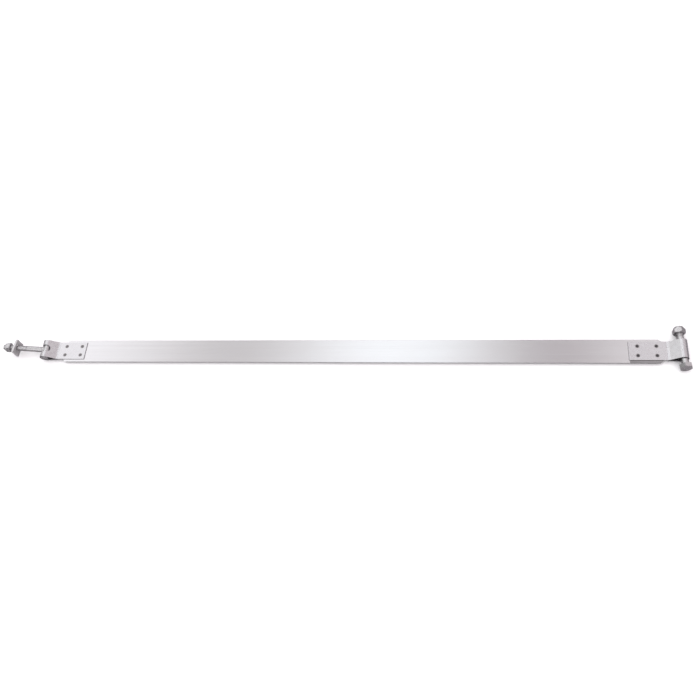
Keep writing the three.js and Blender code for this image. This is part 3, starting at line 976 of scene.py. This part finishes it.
# ---- Floor, light and camera: lengths here are metres ----
FLOOR_GAP = 0.0004  # below the lowest piece
FLOOR_SIZE = 12.0
FLOOR_IN_REFLECTIONS = (0.25, 0.24, 0.25, 1)
PANEL_LOW = 0.15  # upward part of a direction, below which the panels stand upright
HORIZON_LOW = 0.05
HORIZON_HIGH = 0.36
HORIZON_LEVEL = 0.12
STUDIO_STRENGTH = 1.05
DIFFUSE_STRENGTH = 2.5  # the light that falls on the floor
BACKDROP = (1.0, 1.0, 1.0, 1)
# The studio's colour by its sideways slope (X over Z): (slope, red, green, blue)
PANEL_STOPS = [
    (-1.00, 0.72, 0.72, 0.72),
    (-0.78, 1.05, 1.04, 1.06),
    (-0.62, 1.34, 1.33, 1.37),
    (-0.53, 1.10, 1.09, 1.12),
    (-0.46, 0.87, 0.85, 0.86),
    (-0.355, 0.48, 0.45, 0.46),
    (-0.27, 0.84, 0.82, 0.83),
    (-0.17, 1.31, 1.35, 1.39),
    (-0.07, 1.28, 1.33, 1.37),
    (0.02, 0.85, 0.83, 0.84),
    (0.094, 0.27, 0.22, 0.24),
    (0.22, 1.02, 0.99, 1.01),
    (0.45, 0.64, 0.59, 0.61),
    (1.00, 0.64, 0.59, 0.61),
]


def make_floor():
    bm = bmesh.new()
    half, height = FLOOR_SIZE / 2, cad_bounds[0][2] - FLOOR_GAP
    square = ((-half, -half), (half, -half), (half, half), (-half, half))
    corners = [bm.verts.new((x, y, height)) for x, y in square]
    bm.faces.new(corners)
    mesh = bpy.data.meshes.new("floor")
    bm.to_mesh(mesh)
    bm.free()
    floor = bpy.data.objects.new("floor", mesh)
    bpy.context.scene.collection.objects.link(floor)
    g = Graph("floor_white")
    speckle = g.noise((40, 40, 40), detail=3)
    paper = g.mix(speckle, (0.92, 0.92, 0.92, 1), (0.94, 0.94, 0.94, 1))
    reflected = g.nodes.new("ShaderNodeLightPath").outputs["Is Glossy Ray"]
    color = g.mix(reflected, paper, FLOOR_IN_REFLECTIONS)
    normal = g.bump(speckle, 0.05, 0.0002)
    floor.data.materials.append(g.surface(color, 0.9, normal, metallic=0.0, Specular_IOR_Level=0.0))


def make_studio():
    """A soft white studio: bright panels overhead with darker gaps between them, and a dim horizon."""
    world = bpy.data.worlds.new("studio")
    world.use_nodes = True
    tree = world.node_tree
    nodes, links = tree.nodes, tree.links
    nodes.clear()
    coordinates = nodes.new("ShaderNodeTexCoord")
    split = nodes.new("ShaderNodeSeparateXYZ")
    links.new(coordinates.outputs["Generated"], split.inputs[0])
    height = nodes.new("ShaderNodeMath")
    height.operation = "MAXIMUM"
    height.inputs[1].default_value = PANEL_LOW
    links.new(split.outputs["Z"], height.inputs[0])
    slope = nodes.new("ShaderNodeMath")
    slope.operation = "DIVIDE"
    links.new(split.outputs["X"], slope.inputs[0])
    links.new(height.outputs[0], slope.inputs[1])
    span = nodes.new("ShaderNodeMapRange")
    span.inputs["From Min"].default_value = -1.0
    span.inputs["From Max"].default_value = 1.0
    links.new(slope.outputs[0], span.inputs["Value"])
    panels = nodes.new("ShaderNodeValToRGB")
    panels.color_ramp.interpolation = "EASE"
    links.new(span.outputs["Result"], panels.inputs["Fac"])
    ramp = panels.color_ramp
    while len(ramp.elements) < len(PANEL_STOPS):
        ramp.elements.new(0.5)
    for element, (position, red, green, blue) in zip(ramp.elements, PANEL_STOPS):
        element.position = (position + 1) / 2
        element.color = (red, green, blue, 1)
    horizon = nodes.new("ShaderNodeMapRange")
    horizon.interpolation_type = "SMOOTHSTEP"
    horizon.inputs["From Min"].default_value = HORIZON_LOW
    horizon.inputs["From Max"].default_value = HORIZON_HIGH
    horizon.inputs["To Min"].default_value = HORIZON_LEVEL
    horizon.inputs["To Max"].default_value = 1.0
    links.new(split.outputs["Z"], horizon.inputs["Value"])
    dimmed = nodes.new("ShaderNodeVectorMath")
    dimmed.operation = "SCALE"
    links.new(panels.outputs["Color"], dimmed.inputs[0])
    links.new(horizon.outputs["Result"], dimmed.inputs["Scale"])
    seen = nodes.new("ShaderNodeLightPath")
    strength = nodes.new("ShaderNodeMapRange")
    strength.inputs["To Min"].default_value = STUDIO_STRENGTH
    strength.inputs["To Max"].default_value = DIFFUSE_STRENGTH
    links.new(seen.outputs["Is Diffuse Ray"], strength.inputs["Value"])
    studio = nodes.new("ShaderNodeBackground")
    links.new(strength.outputs["Result"], studio.inputs["Strength"])
    links.new(dimmed.outputs[0], studio.inputs["Color"])
    backdrop = nodes.new("ShaderNodeBackground")
    backdrop.inputs["Color"].default_value = BACKDROP
    chosen = nodes.new("ShaderNodeMixShader")
    links.new(seen.outputs["Is Camera Ray"], chosen.inputs["Fac"])
    links.new(studio.outputs[0], chosen.inputs[1])
    links.new(backdrop.outputs[0], chosen.inputs[2])
    output = nodes.new("ShaderNodeOutputWorld")
    links.new(chosen.outputs[0], output.inputs["Surface"])
    bpy.context.scene.world = world


CAMERA_TARGET = (0.0072, 0.0031, 0.0)
CAMERA_DISTANCE = 1.4351
CAMERA_AZIMUTH = 19.04
CAMERA_ELEVATION = 60.55
CAMERA_ROLL = -16.72
CAMERA_LENS = 41.14  # millimetres, on a 36 mm sensor


def make_camera():
    azimuth, elevation = math.radians(CAMERA_AZIMUTH), math.radians(CAMERA_ELEVATION)
    back = Vector((
        math.sin(azimuth) * math.cos(elevation),
        -math.cos(azimuth) * math.cos(elevation),
        math.sin(elevation),
    ))
    data = bpy.data.cameras.new("camera")
    data.lens = CAMERA_LENS
    camera = bpy.data.objects.new("camera", data)
    bpy.context.scene.collection.objects.link(camera)
    aim = (-back).to_track_quat("-Z", "Y").to_matrix().to_4x4()
    position = Matrix.Translation(Vector(CAMERA_TARGET) + back * CAMERA_DISTANCE)
    camera.matrix_world = position @ aim @ turn(CAMERA_ROLL, "Z")
    bpy.context.scene.camera = camera


make_floor()
make_studio()
make_camera()
bpy.context.scene.view_settings.view_transform = "Standard"
